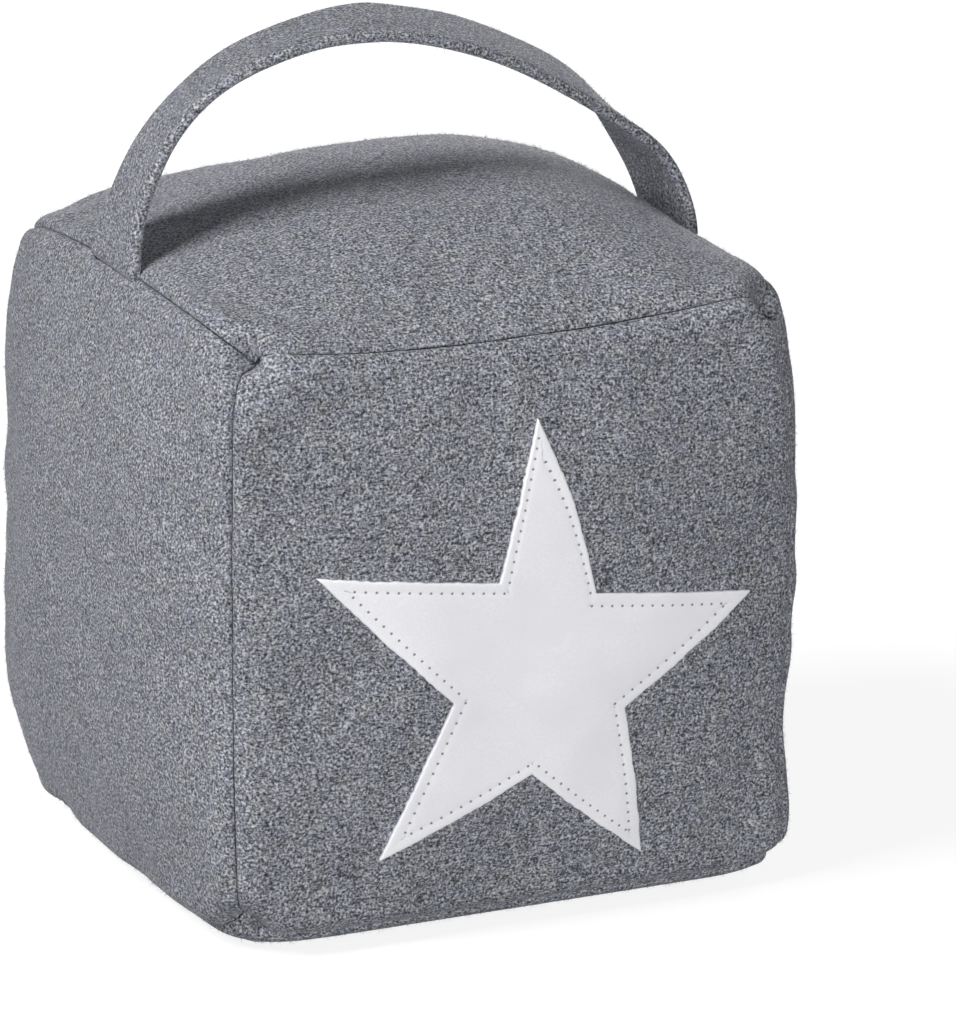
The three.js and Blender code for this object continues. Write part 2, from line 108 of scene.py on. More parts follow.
# 1 at a place, fading about it as a bell of that reach
def bell(points, place, reach):
    return np.exp(-((points - place) ** 2).sum(-1) / reach ** 2)


# A gentle, seeded unevenness: the mean of sine waves that run in random directions through space,
# all of about one wavelength. It is the same for every piece that meets at a point
def uneven(points, wavelength, seed, waves=14):
    rng = np.random.default_rng(seed)
    course = rng.normal(size=(waves, points.shape[-1]))
    course /= np.linalg.norm(course, axis=1, keepdims=True)
    course *= 2 * math.pi / (wavelength * rng.uniform(0.75, 1.4, (waves, 1)))
    phase = rng.uniform(0, 2 * math.pi, waves)
    return np.sin(points @ course.T + phase).sum(-1) / math.sqrt(waves / 2)


# The matrix of a camera or lamp from its own three axes and its place
def standing(right, up, back, place):
    columns = np.zeros((4, 4))
    columns[:3, 0], columns[:3, 1], columns[:3, 2], columns[:3, 3] = right, up, back, place
    columns[3, 3] = 1
    return Matrix(columns.tolist())


# The camera stands front left and looks down at the photograph's angle. The picture is taller than wide,
# so the sensor's width runs along its height
cameraSetup = {
    "turn": 24.4, "tilt": 17.88,        # degrees round from the front, and down
    "distance": 2400,
    "aim": (0, 0, 67), "aimRight": 19.8, "aimUp": 16.1,
    "pixelsPerMm": 4.06, "imageLong": 1024, "sensor": 36,
    "clip": (0.05, 50),        # metres
}


def makeCamera(setup):
    turn, tilt = math.radians(setup["turn"]), math.radians(setup["tilt"])
    back = np.array([-math.sin(turn) * math.cos(tilt), -math.cos(turn) * math.cos(tilt), math.sin(tilt)])
    right = np.array([math.cos(turn), -math.sin(turn), 0])
    up = np.cross(back, right)
    aim = np.array(setup["aim"]) + right * setup["aimRight"] + up * setup["aimUp"]
    place = aim + back * setup["distance"]
    data = bpy.data.cameras.new("camera")
    data.sensor_width = setup["sensor"]
    data.lens = setup["pixelsPerMm"] * setup["distance"] * setup["sensor"] / setup["imageLong"]
    data.clip_start, data.clip_end = setup["clip"]
    camera = bpy.data.objects.new("camera", data)
    bpy.context.scene.collection.objects.link(camera)
    camera.matrix_world = standing(right, up, back, place * mm)
    bpy.context.scene.camera = camera


makeCamera(cameraSetup)
print("camera made")


# Object coordinates are in metres, so a pattern of a size in mm has this scale
def scaleFor(size):
    return 1 / (size * mm)


# The node tree of a material or of the world, emptied
def emptyTree(owner):
    owner.use_nodes = True
    owner.node_tree.nodes.clear()
    return owner.node_tree


# A material, its node tree, and its Object coordinates
def newMaterial(name):
    material = bpy.data.materials.new(name)
    tree = emptyTree(material)
    return material, tree, addNode(tree, "TexCoord").outputs["Object"]


# The end of each material of the object: a surface with its look's own values, of a colour, with a bump
# of the look's strength and height in mm
def addSurface(tree, look, colour, height=None):
    links = {"Base Color": colour}
    if height is not None:
        strength, rise = look["bump"]
        bump = addNode(tree, "Bump", values={"Strength": strength, "Distance": rise * mm},
                       links={"Height": height})
        links["Normal"] = bump.outputs[0]
    shader = addNode(tree, "BsdfPrincipled", values=look["surface"], links=links)
    addNode(tree, "OutputMaterial", links={"Surface": shader.outputs[0]})


# Wool felt, melange: dark, mid and pale fibres carded together, matted and pressed. The eye gets a dull,
# speckled grey with short pale hairs and a soft rim, and a drift of bluish and brownish tints. Real fibres
# are 0.03 mm thick, too fine to show, so the hairs are drawn ten times as coarse, and the grain twenty
feltLook = {
    "stops": [(0.28, "#2c2d32"), (0.40, "#58595f"), (0.50, "#7d7e84"), (0.60, "#a3a4aa"), (0.72, "#d2d2d6")],
    "grain": {"Scale": scaleFor(0.62), "Detail": 1.0, "Roughness": 0.6},        # sizes in mm
    "drift": {"Scale": scaleFor(5.5), "Detail": 1.0},
    "cloud": {"Scale": scaleFor(60), "Detail": 2.0, "Roughness": 0.6},
    "cloudRange": {"From Min": 0.3, "From Max": 0.7, "To Min": 0.94, "To Max": 1.06},
    "tints": [(0.36, "#7c8597"), (0.64, "#8a8b83")], "tintShare": 0.38,
    "hair": "#c3c5cb", "hairRange": {"From Min": 0.62, "From Max": 0.8, "To Max": 0.55},
    "hairLength": 2.4, "hairWidth": 0.3, "hairTurns": ((0.3, 0.9, 0.4), (2.2, 0.2, 2.1)),
    "bump": (0.7, 0.2),
    "surface": {"Roughness": 0.95, "Specular IOR Level": 0.2, "Sheen Weight": 0.2, "Sheen Roughness": 0.5,
                "Sheen Tint": linear("#c6c8d2")},
}


def melangeFelt(name, look):
    material, tree, place = newMaterial(name)
    grain = addNode(tree, "TexNoise", values=look["grain"], links={"Vector": place})
    grey = addNode(tree, "ValToRGB", links={"Fac": grain.outputs["Fac"]}, stops=look["stops"])

    # Hairs: noise drawn out along two slanting directions, of which the palest parts show
    streaks = []
    along, across = scaleFor(look["hairLength"]), scaleFor(look["hairWidth"])
    for k, turn in enumerate(look["hairTurns"]):
        apart = (0.1 * k, 0.2, 0.3)
        turned = addNode(tree, "Mapping", links={"Vector": place},
                         values={"Rotation": turn, "Location": apart, "Scale": (along, across, across)})
        streak = addNode(tree, "TexNoise", values={"Scale": 1.0, "Detail": 0.0},
                         links={"Vector": turned.outputs[0]})
        streaks.append(streak.outputs["Fac"])
    most = addNode(tree, "Math", {"operation": "MAXIMUM"}, links={0: streaks[0], 1: streaks[1]})
    hairShare = addNode(tree, "MapRange", values=look["hairRange"], links={"Value": most.outputs[0]})
    withHairs = addNode(tree, "Mix", {"data_type": "RGBA"}, {7: linear(look["hair"])},
                        {0: hairShare.outputs[0], 6: grey.outputs["Color"]})

    # Drift of tint over a few millimetres, and of lightness over a few centimetres
    drift = addNode(tree, "TexNoise", values=look["drift"], links={"Vector": place})
    tint = addNode(tree, "ValToRGB", links={"Fac": drift.outputs["Fac"]}, stops=look["tints"])
    tinted = addNode(tree, "Mix", {"data_type": "RGBA", "blend_type": "SOFT_LIGHT"},
                     {0: look["tintShare"]}, {6: withHairs.outputs[2], 7: tint.outputs["Color"]})
    cloud = addNode(tree, "TexNoise", values=look["cloud"], links={"Vector": place})
    cloudy = addNode(tree, "MapRange", values=look["cloudRange"], links={"Value": cloud.outputs["Fac"]})
    colour = addNode(tree, "HueSaturation", links={"Value": cloudy.outputs[0], "Color": tinted.outputs[2]})
    addSurface(tree, look, colour.outputs[0], grain.outputs["Fac"])
    return material


greyFelt = melangeFelt("wool_felt_grey_melange", feltLook)

# Loose wool ends: single curled fibres, pale to dark grey, that catch the light along their length
fibreLook = {
    "stops": [(0.3, "#5d5e67"), (0.52, "#93949b"), (0.7, "#cfd0d4")],
    "patch": {"Scale": scaleFor(1.6), "Detail": 0.0},
    "surface": {"Roughness": 0.7, "Specular IOR Level": 0.3, "Sheen Weight": 0.2, "Sheen Roughness": 0.4},
}


def looseWoolMaterial(name, look):
    material, tree, place = newMaterial(name)
    each = addNode(tree, "TexNoise", values=look["patch"], links={"Vector": place})
    grey = addNode(tree, "ValToRGB", links={"Fac": each.outputs["Fac"]}, stops=look["stops"])
    addSurface(tree, look, grey.outputs["Color"])
    return material


looseWool = looseWoolMaterial("wool_fibre_ends", fibreLook)

# Craft felt, bleached white: fine dense fibres, ironed flat. The eye gets a clean, faintly clouded white
whiteLook = {
    "light": "#f6f6f9", "shade": "#eeeef3", "shadeRange": {"From Min": 0.14, "From Max": 0.36},
    "fibre": {"Scale": scaleFor(0.5), "Detail": 1.0}, "cloud": {"Scale": scaleFor(14), "Detail": 1.0},
    "pitch": 2.75, "inset": 2.75, "hole": "#7c7c85", "holeDepth": 4.0,
    "holeRange": {"From Min": 0.12, "From Max": 0.5, "To Min": 1.0, "To Max": 0.0},        # mm
    "bump": (0.6, 0.04),
    "surface": {"Roughness": 0.92, "Specular IOR Level": 0.2, "Sheen Weight": 0.1, "Sheen Roughness": 0.5},
}


def whiteFeltMaterial(name, look):
    material, tree, place = newMaterial(name)
    fibre = addNode(tree, "TexNoise", values=look["fibre"], links={"Vector": place})
    cloud = addNode(tree, "TexNoise", values=look["cloud"], links={"Vector": place})
    both = addNode(tree, "Math", {"operation": "MULTIPLY"},
                   links={0: fibre.outputs["Fac"], 1: cloud.outputs["Fac"]})
    share = addNode(tree, "MapRange", values=look["shadeRange"], links={"Value": both.outputs[0]})
    white = addNode(tree, "Mix", {"data_type": "RGBA"},
                    {6: linear(look["shade"]), 7: linear(look["light"])}, {0: share.outputs[0]})

    # Needle holes: round spots every stitch along the line that the map "seam" measures in mm
    seam = addNode(tree, "UVMap", {"uv_map": "seam"})
    parts = addNode(tree, "SeparateXYZ", links={"Vector": seam.outputs[0]})
    along = addNode(tree, "Math", {"operation": "DIVIDE"}, {1: look["pitch"]},
                    {0: parts.outputs["X"]})
    turn = addNode(tree, "Math", {"operation": "FRACT"}, links={0: along.outputs[0]})
    aside = addNode(tree, "Math", {"operation": "SUBTRACT"}, {1: 0.5}, {0: turn.outputs[0]})
    stretch = addNode(tree, "Math", {"operation": "MULTIPLY"}, {1: look["pitch"]},
                      {0: aside.outputs[0]})
    across = addNode(tree, "Math", {"operation": "SUBTRACT"}, {1: look["inset"]},
                     {0: parts.outputs["Y"]})
    spot = addNode(tree, "CombineXYZ", links={"X": stretch.outputs[0], "Y": across.outputs[0]})
    reach = addNode(tree, "VectorMath", {"operation": "LENGTH"}, links={0: spot.outputs[0]})
    hole = addNode(tree, "MapRange", {"interpolation_type": "SMOOTHSTEP"}, look["holeRange"],
                   {"Value": reach.outputs["Value"]})
    colour = addNode(tree, "Mix", {"data_type": "RGBA"}, {7: linear(look["hole"])},
                     {0: hole.outputs[0], 6: white.outputs[2]})
    depth = addNode(tree, "Math", {"operation": "MULTIPLY_ADD"}, {1: -look["holeDepth"]},
                    {0: hole.outputs[0], 2: fibre.outputs["Fac"]})
    addSurface(tree, look, colour.outputs[2], depth.outputs[0])
    return material


whiteFelt = whiteFeltMaterial("craft_felt_white", whiteLook)

# Inside, unseen: fluffy bonded polyester, a milky white with soft crimped strands
waddingLook = {
    "stops": [(0.35, "#e2e1dd"), (0.65, "#f6f5f2")],
    "strand": {"Scale": scaleFor(0.9), "Detail": 1.0, "Distortion": 1.2},
    "loft": {"Scale": scaleFor(7), "Detail": 2.0}, "loftHeight": 3.0,
    "bump": (0.8, 0.6),
    "surface": {"Roughness": 0.9, "Specular IOR Level": 0.2, "Sheen Weight": 0.4, "Sheen Roughness": 0.5},
}


def waddingMaterial(name, look):
    material, tree, place = newMaterial(name)
    strand = addNode(tree, "TexNoise", values=look["strand"], links={"Vector": place})
    loft = addNode(tree, "TexNoise", values=look["loft"], links={"Vector": place})
    height = addNode(tree, "Math", {"operation": "MULTIPLY_ADD"}, {1: look["loftHeight"]},
                     {0: loft.outputs["Fac"], 2: strand.outputs["Fac"]})
    white = addNode(tree, "ValToRGB", links={"Fac": strand.outputs["Fac"]}, stops=look["stops"])
    addSurface(tree, look, white.outputs["Color"], height.outputs[0])
    return material


# Calico, a plain cotton weave that the sand fills out: cream, with brown specks of husk
calicoLook = {
    "stops": [(0.24, "#8d7650"), (0.32, "#c9b58c"), (0.7, "#d6c6a2")],
    "thread": 0.7, "speck": {"Scale": scaleFor(2.6), "Detail": 1.0},
    "bump": (0.5, 0.15), "surface": {"Roughness": 0.8, "Specular IOR Level": 0.3},
}


def calicoMaterial(name, look):
    material, tree, place = newMaterial(name)
    bandScale = scaleFor(look["thread"]) * math.pi / 10        # bands repeat every pi/10 of the scaled place
    threads = [addNode(tree, "TexWave", {"wave_type": "BANDS", "bands_direction": way},
                       {"Scale": bandScale, "Distortion": 0.4, "Detail": 0.0}, {"Vector": place})
               for way in ("X", "Y")]
    weave = addNode(tree, "Math", {"operation": "MAXIMUM"},
                    links={0: threads[0].outputs["Fac"], 1: threads[1].outputs["Fac"]})
    speck = addNode(tree, "TexNoise", values=look["speck"], links={"Vector": place})
    cream = addNode(tree, "ValToRGB", links={"Fac": speck.outputs["Fac"]}, stops=look["stops"])
    addSurface(tree, look, cream.outputs["Color"], weave.outputs[0])
    return material


def dressNode(node, material):
    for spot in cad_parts[node].material_slots:
        spot.material = material


dressNode("wadding", waddingMaterial("polyester_wadding", waddingLook))
dressNode("sand_bag", calicoMaterial("calico_cotton", calicoLook))
print("felts and fillings made")


# The cover: the sewn cube's size between the seams before it is filled, how the filling swells it, and
# how far the stitching draws each corner in
cover = {
    "size": (150, 142, 156.8), "edgeRound": 7.4,
    "leftSwell": 12.6, "rightSwell": 8.7, "frontSwell": 7.9, "backSwell": 6.5,
    "crown": 14, "crownLean": 0.2, "fullness": 2.6,
    "frontDroop": 9, "backDroop": 3, "leftRise": 1.4, "rightRise": -7,
    "footLift": 2.7, "footRoll": 18, "footReach": 24, "footSpread": 1.1, "spreadReach": 12,
    "footTuck": 1.7, "tuckHeight": 2.2, "tuckReach": 1.6,
    "corners": [        # the corner's side, how far it is drawn in along x, y and z, and the reach
        ((-1, -1, 1), (4.2, 3, 3), 5), ((-1, -1, 1), (3.8, 3.6, 2.6), 11),
        ((1, -1, 1), (4, 3.4, 8.6), 6.5), ((1, -1, 1), (0.6, 0.4, 1.6), 12), ((1, -1, 1), (0.6, 0.4, 0), 26),
        ((-1, 1, 1), (2, 3.6, 5.1), 16.3), ((1, 1, 1), (4.7, 4.9, 4.2), 16.3),
        ((-1, -1, -1), (3.4, 4.1, 3.4), 7.5), ((-1, -1, -1), (1.3, 1.5, 0.9), 15),
        ((1, -1, -1), (1.6, 2, 1.8), 10),
        ((-1, 1, -1), (6.5, 5.5, 4), 14), ((1, 1, -1), (3, 3, 2.4), 11.8),
    ],
    "pushes": [        # places, reach and shift
        ((77, -69, 42), 18, (-1.6, 0.3, 0)), ((76, -70, 10), 9, (0.5, 0, 0)),
        ((79, -66, 92), 30, (0.8, 0, 0)), ((76, -71, 143), 6.5, (-2.6, 0.6, 0)),
        ((77, -72, 134), 6.5, (-2.6, 0.6, 0)), ((78, -72, 125), 6, (-1.2, 0.3, 0)),
        ((72, -52, 155), 11, (0.4, 0, 0.7)), ((74, -24, 152), 24, (0, 0, -1)),
        ((-84, 42, 38), 34, (-1.9, 0, 0)), ((-76, 62, 9), 13, (2.4, -1.6, 0)),
        ((-77, 33, 4), 13, (1.8, 0, 1.2)), ((-60, 45, 163), 22, (0, 0, -3)),
    ],
    "felt": 1.8, "allowance": 7, "cornerClip": 2.8, "seamGap": 0.26, "seamRoll": 1.9, "deepest": 4,
    "strapSlot": 1.6, "strapWindows": (11.3, 9.6), "strapTaper": 3.4, "strapPinch": 0.2,        # left, right
    "standBack": 5, "innerClear": 2.7,
    "grooveShare": 0.86, "grooveVary": 0.2, "grooveWave": 38, "grooveLimits": (0.04, 1.25), "fainter": 0.93,
    "faintSeams": [((-60.5, -70.5, 151.5), 5.5), ((-76, -2, 157.5), 15)],        # places and reach
    "creases": [        # places, reach, how much wider the felt rolls in, and how far it opens
        ((-65, -60.5, 148.5), 6.5, 0.4, 0.6), ((-68.5, -54, 152.5), 6, 0.3, 0.35),
        ((-76, -72, 30), 24, 0, 0.16), ((67, -64, 145), 7, 0.7, 0.8), ((74, -70, 134), 9, 0.4, 0.35),
        ((-68, -62.5, 6), 8, 0.5, 0.8), ((-62, -70, 4), 8, 0.2, 0.35), ((74, -68, 3), 7, 0.4, 0.3),
    ],
    "dent": 0.22, "dentWave": 44, "dentFade": (4, 30),
    "pucker": 0.11, "puckerWave": 17, "puckerLine": 2.5, "puckerReach": 8,
    "rippleFade": (0, 4), "groundFade": (2, 12),
    "seamLines": (0, 0.12, 0.35, 0.7, 1.1, 1.55, 2.05, 2.7, 3.5, 4.4, 5.4, 6.5), "lineSpacing": 1.5,
}
half = np.array(cover["size"]) / 2
edgeArc = cover["edgeRound"] * math.pi / 4

# A panel's outward axis and the two axes that lie in it
panelAxes = {
    "front": ((0, -1, 0), (1, 0, 0), (0, 0, 1)),
    "back": ((0, 1, 0), (-1, 0, 0), (0, 0, 1)),
    "left": ((-1, 0, 0), (0, -1, 0), (0, 0, 1)),
    "right": ((1, 0, 0), (0, 1, 0), (0, 0, 1)),
    "top": ((0, 0, 1), (1, 0, 0), (0, 1, 0)),
    "base": ((0, 0, -1), (1, 0, 0), (0, -1, 0)),
}


def axesOf(panel):
    return [np.array(axis, float) for axis in panelAxes[panel]]


# Half of a panel's size along the two axes that lie in it
def halvesOf(panel):
    return [half[np.abs(axis).argmax()] for axis in panelAxes[panel][1:]]


# How free a line across the cube is to swell: nothing at its ends, 1 in the middle
def freedom(w):
    return 1 - np.minimum(np.abs(w), 1) ** cover["fullness"]


# Moves points of the unfilled cube to where the filling puts them: each face swells with the freedom
# of both lines that cross there, towards the top the crown rises and the seams are drawn, and last come
# the tuck of the lowest seams and the pushes of hands and shelf, each a shift that fades as a bell about
# its place
def filled(points):
    x, y = points[..., 0] / half[0], points[..., 1] / half[1]
    z = points[..., 2] / half[2] - 1
    wide, deep, tall = freedom(x), freedom(y), freedom(z)
    rise = (np.maximum(z + 1, 0) / 2) ** 3
    droop = np.where(y < 0, cover["frontDroop"], cover["backDroop"])
    seamRise = np.where(x < 0, cover["leftRise"], cover["rightRise"])
    sideSwell = np.where(x < 0, cover["leftSwell"], cover["rightSwell"])
    faceSwell = np.where(y < 0, cover["frontSwell"], cover["backSwell"])
    spread = cover["footSpread"] * np.exp(-(points[..., 2] / cover["spreadReach"]) ** 2)
    toSeam = np.maximum(np.minimum(half[0] - np.abs(points[..., 0]), half[1] - np.abs(points[..., 1])), 0)
    roll = smoothStep(0, cover["footRoll"], cover["footRoll"] - toSeam)
    moved = points.copy()
    moved[..., 0] += sideSwell * x * deep * tall + spread * x
    moved[..., 1] += faceSwell * y * wide * tall + spread * y
    moved[..., 2] += rise * cover["crown"] * (1 + cover["crownLean"] * x) * wide * deep
    moved[..., 2] += rise * (seamRise * deep * (2 - deep) * (1 - wide) - droop * wide * (1 - deep))
    moved[..., 2] += cover["footLift"] * roll * np.exp(-(points[..., 2] / cover["footReach"]) ** 2)
    tuck = cover["footTuck"] * np.exp(-((points[..., 2] - cover["tuckHeight"]) / cover["tuckReach"]) ** 2)
    moved[..., 0] -= tuck * x ** 7
    moved[..., 1] -= tuck * y ** 7
    still = moved.copy()
    for place, reach, shift in cover["pushes"]:
        moved += bell(still, place, reach)[..., None] * np.array(shift)
    return moved


# Places of a panel's face on the sharp cube, measured from the cube's middle
def onSharpCube(panel, first, second):
    out, firstAxis, secondAxis = axesOf(panel)
    return out * abs(out @ half) + first[..., None] * firstAxis + second[..., None] * secondAxis


# The point of the rounded cube, and its outward direction, under a point of the sharp cube's face
def onRoundedCube(panel, first, second):
    cube = onSharpCube(panel, first, second)
    core = np.clip(cube, cover["edgeRound"] - half, half - cover["edgeRound"])
    normal = cube - core
    normal /= np.linalg.norm(normal, axis=-1, keepdims=True)
    point = core + cover["edgeRound"] * normal
    point[..., 2] += half[2]
    return point, normal


# Distance along the felt from the nearest seam for a place on the sharp cube, and the reverse: through
# the rounded edge it is an arc, and beyond that a straight line
def fromSeam(halfLength, at):
    inRound = np.abs(at) - (halfLength - cover["edgeRound"])
    arc = (math.pi / 4 - np.arctan(np.maximum(inRound, 0) / cover["edgeRound"])) * cover["edgeRound"]
    return np.where(inRound > 0, arc, edgeArc - inRound)


def atDistance(halfLength, distance):
    rounded = cover["edgeRound"] * np.tan((edgeArc - np.minimum(distance, edgeArc)) / cover["edgeRound"])
    return halfLength - cover["edgeRound"] + np.where(distance < edgeArc, rounded, edgeArc - distance)


# Mesh lines across the cube: close together where the felt rolls into the seam, then evenly spaced
def linesAcross(halfLength):
    near = np.array(cover["seamLines"])
    whole = halfLength - cover["edgeRound"] + edgeArc
    count = int(round((whole - near[-1]) / cover["lineSpacing"]))
    distances = np.concatenate((near, np.linspace(near[-1], whole, count + 1)[1:]))
    line = atDistance(halfLength, distances)
    return np.concatenate((-line, line[::-1][1:]))


# Where three panels meet, and in a few other places, the seams are gathered, so the felt rolls in wider
# and deeper there: the roll's radius and the gap at the seam grow by a bell about each such place
def gathered(points):
    radius, opened = np.full(points.shape[:-1], cover["seamRoll"]), np.zeros(points.shape[:-1])
    for place, reach, wider, gap in cover["creases"]:
        near = bell(points, place, reach)
        radius += cover["seamRoll"] * wider * near
        opened += gap * near
    return radius, opened


# How deep the felt turns in at a seam: a quarter circle
def rollDepth(distance, radius):
    left = np.clip(radius - distance, 0, None)
    return radius - np.sqrt(radius ** 2 - left ** 2)


# How far the corners of a panel draw it in: a bell over the distance along the felt from each corner,
# so the felt keeps its thickness there
def drawnIn(panel, first, second):
    out, *inPlane = axesOf(panel)
    radius = cover["edgeRound"]
    drawn = np.zeros((*first.shape, 3))
    for side, inward, reach in cover["corners"]:
        side = np.array(side, float)
        if out @ side < 0:
            continue
        distances = []
        for axis, end, at in zip(inPlane, halvesOf(panel), (first, second)):
            inRound = at * (axis @ side) - (end - radius)
            arc = radius * np.arctan(np.maximum(inRound, 0) / radius)
            distances.append(edgeArc - np.where(inRound > 0, arc, inRound))
        drawn -= side * inward * np.exp(-(np.hypot(*distances) / reach) ** 2)[..., None]
    return drawn


# How far a panel's edge stands back for the strap's tail, in the two side seams of the top
def seamOpening(outAxis, neighbour, y):
    both = outAxis + neighbour
    if both[0] == 0 or both[2] <= 0:
        return np.zeros_like(y)
    window = cover["strapWindows"][int(both[0] > 0)]
    beyond = smoothStep(window, window + cover["strapTaper"], np.abs(y))
    return (cover["strapSlot"] - cover["strapPinch"] - cover["seamGap"] / 2) * (1 - beyond)


# Values of a square grid between its lines, by a cubic spline. u and v run from 0 to 1 across it
def splineAt(values, u, v):
    size = len(values)
    result = np.zeros(u.shape)
    weights, numbers = [], []
    for share in (u, v):
        at = np.clip(share, 0, 1) * (size - 1)
        cell = np.minimum(at.astype(int), size - 2)
        f = at - cell
        weights.append(((1 - f) ** 3 / 6, (3 * f ** 3 - 6 * f ** 2 + 4) / 6,
                        (-3 * f ** 3 + 3 * f ** 2 + 3 * f + 1) / 6, f ** 3 / 6))
        numbers.append([np.clip(cell + k, 0, size - 1) for k in (-1, 0, 1, 2)])
    for k in range(4):
        for m in range(4):
            result += weights[0][k] * weights[1][m] * values[numbers[0][k], numbers[1][m]]
    return result


# The cover as one closed cloth, its seams held, blown out by the filling. Each panel is cut slightly
# larger than its seams, so it ripples beside them
filling = {"cells": 36, "pressure": 4.0, "ease": 0.03, "frames": 20, "stiffness": 12, "bending": 3,
           "smoothing": 14, "cap": 1.3, "amount": 0.5}


def fillCover(setup):
    count = setup["cells"] + 1
    sharp, places, outwards = [], [], []
    for panel in panelAxes:
        ends = halvesOf(panel)
        first, second = np.meshgrid(*(np.linspace(-end, end, count) for end in ends), indexing="ij")
        point, normal = onRoundedCube(panel, first, second)
        places.append((filled(point) + drawnIn(panel, first, second)).reshape(-1, 3))
        outwards.append(normal)
        sharp.append(onSharpCube(panel, first, second).reshape(-1, 3))
    sharp, places = np.concatenate(sharp), np.concatenate(places)

    # Panels share the points of their seams: each is found once, and numbered for all its panels
    found, firstSeen, number = np.unique(np.round(sharp, 3), axis=0, return_index=True, return_inverse=True)
    number = number.ravel()
    start = places[firstSeen]
    faces = number[np.concatenate([gridFaces(count, count, k * count ** 2) for k in range(len(panelAxes))])]
    onSeam = (np.isclose(np.abs(found), half, atol=0.01).sum(1) >= 2).nonzero()[0]

    mesh = bpy.data.meshes.new("cover_cloth")
    mesh.from_pydata((start * mm).tolist(), [], faces.tolist())
    cloth = bpy.data.objects.new("cover_cloth", mesh)
    bpy.context.scene.collection.objects.link(cloth)
    cloth.vertex_groups.new(name="seams").add(onSeam.tolist(), 1.0, "REPLACE")
    settings = cloth.modifiers.new("filling", "CLOTH").settings
    settings.use_pressure = True
    settings.uniform_pressure_force = setup["pressure"]
    settings.effector_weights.gravity = 0
    settings.vertex_group_mass = "seams"
    settings.shrink_min = settings.shrink_max = -setup["ease"]
    for way in ("tension", "compression", "shear"):
        setattr(settings, way + "_stiffness", setup["stiffness"])
    settings.bending_stiffness = setup["bending"]
    for step in range(1, setup["frames"] + 1):
        bpy.context.scene.frame_set(step)
    blown = np.zeros(len(start) * 3)
    result = cloth.evaluated_get(bpy.context.evaluated_depsgraph_get())
    result.data.vertices.foreach_get("co", blown)
    bpy.context.scene.frame_set(1)
    bpy.data.objects.remove(cloth)
    bpy.data.meshes.remove(mesh)
    moved = blown.reshape(-1, 3) / mm - start

    # What the form above already holds is the smooth part: only the ripples are kept, up to a cap
    rippled = {}
    for k, panel in enumerate(panelAxes):
        rows = number[k * count ** 2:(k + 1) * count ** 2]
        swell = (moved[rows].reshape(count, count, 3) * outwards[k]).sum(-1)
        smooth = swell
        for _ in range(setup["smoothing"]):
            wide = np.pad(smooth, 1, mode="reflect", reflect_type="odd")
            beside = wide[:-2, 1:-1] + wide[2:, 1:-1] + wide[1:-1, :-2] + wide[1:-1, 2:]
            smooth = (beside + 4 * wide[1:-1, 1:-1]) / 8
        rippled[panel] = setup["cap"] * np.tanh(setup["amount"] * (swell - smooth) / setup["cap"])
        print("  ", panel, "swelled up to", round(float(swell.max()), 1), "mm")
    return rippled


ripples = fillCover(filling)
print("cover filled")


# Hand-sewn unevenness, outwards: the ripples of the filled cloth, shallow dents in the faces, and
# puckers beside the seams. It fades out at the ground
def handmade(panel, first, second, point, toSeam):
    lift = cover["dent"] * uneven(point, cover["dentWave"], seed=3) * smoothStep(*cover["dentFade"], toSeam)
    besideSeam = np.exp(-((toSeam - cover["puckerLine"]) / cover["puckerReach"]) ** 2)
    lift += cover["pucker"] * uneven(point, cover["puckerWave"], seed=8) * besideSeam
    if ripples:
        u, v = ((at / end + 1) / 2 for at, end in zip((first, second), halvesOf(panel)))
        lift += splineAt(ripples[panel], u, v) * smoothStep(*cover["rippleFade"], toSeam)
    return lift * smoothStep(*cover["groundFade"], point[..., 2])


# Where a panel's place ends up: the filled cube, drawn in at the corners, with the hand-sewn unevenness.
# depth is how far it lies under the face
def onCover(panel, first, second, depth, toSeam):
    point, normal = onRoundedCube(panel, first, second)
    surface = filled(point)
    lift = normal * handmade(panel, first, second, surface, toSeam)[..., None]
    return filled(point - normal * depth[..., None]) + drawnIn(panel, first, second) + lift


# The share of its full depth that a seam's groove has at a place: it varies as the thread was pulled, and
# it nearly closes where two panels press on each other
def pressed(points):
    share = cover["grooveShare"] + cover["grooveVary"] * uneven(points, cover["grooveWave"], seed=21)
    for place, reach in cover["faintSeams"]:
        flatBell = np.exp(-(((points - place) ** 2).sum(-1) / reach ** 2) ** 2)
        share = share * (1 - cover["fainter"] * flatBell)
    return np.clip(share, *cover["grooveLimits"])


# A panel's outer face at a height above the felt, for places on the sharp cube
def feltFace(panel, first, second, height=0.0):
    toSeam = np.minimum(*(fromSeam(end, at) for end, at in zip(halvesOf(panel), (first, second))))
    surface = filled(onRoundedCube(panel, first, second)[0]) + drawnIn(panel, first, second)
    groove = rollDepth(toSeam, gathered(surface)[0]) * pressed(surface)
    return onCover(panel, first, second, groove - height, toSeam)


